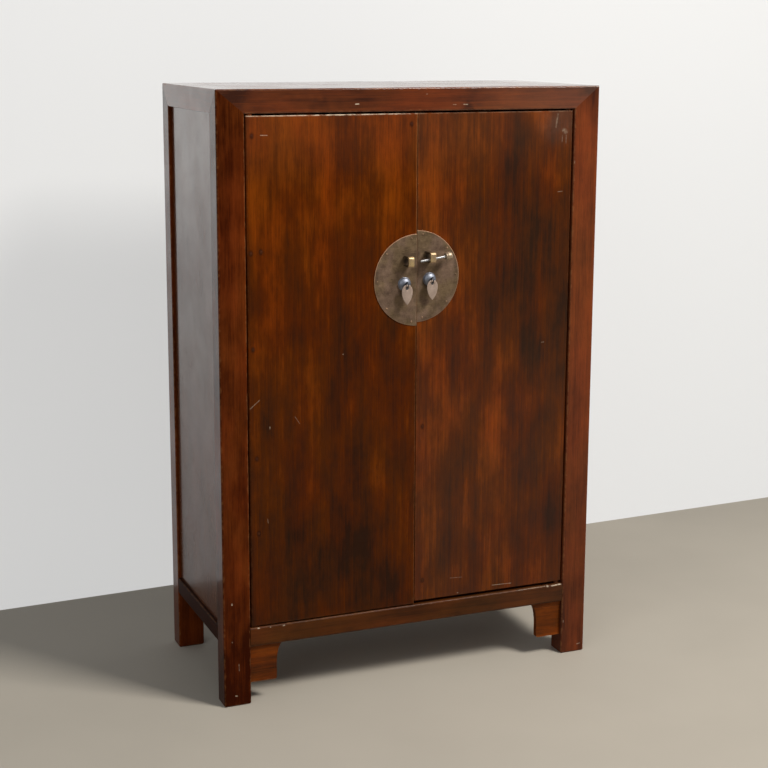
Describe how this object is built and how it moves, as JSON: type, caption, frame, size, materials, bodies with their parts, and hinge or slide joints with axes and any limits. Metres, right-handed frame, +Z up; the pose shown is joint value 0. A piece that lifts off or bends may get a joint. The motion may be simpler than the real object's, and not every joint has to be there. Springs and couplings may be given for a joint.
{
  "type": "wooden cabinet",
  "caption": "Floor-standing wooden cabinet with square mitred corners, pivot-hung doors, a round brass lock plate with leaf pulls, a sliding lock pin and an inner shelf.",
  "frame": {"origin": "on the floor, under the middle of the whole footprint, with the hardware on the doors counted in", "axes": "+X to the viewer's right, +Y from the doors to the back, +Z up"},
  "size_m": [0.76, 0.3856, 1.138],
  "materials": {
    "case_wood": "worn satin lacquer",
    "rail_wood": "worn satin lacquer",
    "door_wood": "worn satin lacquer",
    "panel_wood": "glossy lacquer",
    "inner_wood": "bare, aged",
    "plate_brass": "tarnished",
    "nail_brass": "worn",
    "staple_brass": "worn",
    "boss_metal": "polished, darkened",
    "pendant_metal": "matt, worn pale",
    "pin_metal": "worn"
  },
  "bodies": {
    "carcass": {"front_left_post": "case_wood", "front_right_post": "case_wood", "back_left_post": "case_wood", "back_right_post": "case_wood", "top_front_rail": "case_wood", "top_back_rail": "case_wood", "top_left_rail": "case_wood", "top_right_rail": "case_wood", "bottom_front_rail": "rail_wood", "bottom_back_rail": "case_wood", "bottom_left_rail": "case_wood", "bottom_right_rail": "case_wood", "top_board_front": "case_wood", "top_board_back": "case_wood", "top_battens": "inner_wood", "floor_board_front": "inner_wood", "floor_board_back": "inner_wood", "floor_battens": "inner_wood", "left_side_panel": "panel_wood", "right_side_panel": "panel_wood", "left_side_battens": "inner_wood", "right_side_battens": "inner_wood", "back_board_left": "inner_wood", "back_board_middle": "inner_wood", "back_board_right": "inner_wood", "shelf_front_rail": "inner_wood", "shelf_back_rail": "inner_wood", "shelf_board_front": "inner_wood", "shelf_board_back": "inner_wood", "left_bracket": "rail_wood", "right_bracket": "rail_wood"},
    "left_door": {"left_door_hinge_stile": "door_wood", "left_door_outer_board": "door_wood", "left_door_inner_board": "door_wood", "left_door_meeting_stile": "door_wood", "left_door_battens": "inner_wood", "left_lock_plate": "plate_brass", "left_plate_nails": "nail_brass", "left_staple": "staple_brass", "left_pull_boss": "boss_metal", "left_pull_eye": "boss_metal"},
    "right_door": {"right_door_hinge_stile": "door_wood", "right_door_outer_board": "door_wood", "right_door_inner_board": "door_wood", "right_door_meeting_stile": "door_wood", "right_door_battens": "inner_wood", "right_lock_plate": "plate_brass", "right_plate_nails": "nail_brass", "right_staple": "staple_brass", "right_pull_boss": "boss_metal", "right_pull_eye": "boss_metal"},
    "left_pull": {"left_pull_pendant": "pendant_metal"},
    "right_pull": {"right_pull_pendant": "pendant_metal"},
    "lock_pin": {"lock_pin_rod": "pin_metal", "lock_pin_head": "pin_metal"}
  },
  "joints": [
    {"name": "left_door_hinge", "type": "hinge", "parent": "carcass", "child": "left_door", "pos_m": [-0.318, -0.15875, 0.62], "axis": [0, 0, -1], "range_deg": [0, 95]},
    {"name": "right_door_hinge", "type": "hinge", "parent": "carcass", "child": "right_door", "pos_m": [0.318, -0.15575, 0.62], "axis": [0, 0, 1], "range_deg": [0, 95]},
    {"name": "left_pull_swing", "type": "hinge", "parent": "left_door", "child": "left_pull", "pos_m": [-0.0228, -0.18235, 0.7783], "axis": [-1, 0, 0], "range_deg": [-15, 95]},
    {"name": "right_pull_swing", "type": "hinge", "parent": "right_door", "child": "right_pull", "pos_m": [0.0292, -0.17935, 0.7843], "axis": [-1, 0, 0], "range_deg": [-15, 95]},
    {"name": "lock_pin_slide", "type": "slide", "parent": "right_door", "child": "lock_pin", "axis": [1, 0, 0], "range_m": [-0.0205, 0.005]}
  ]
}
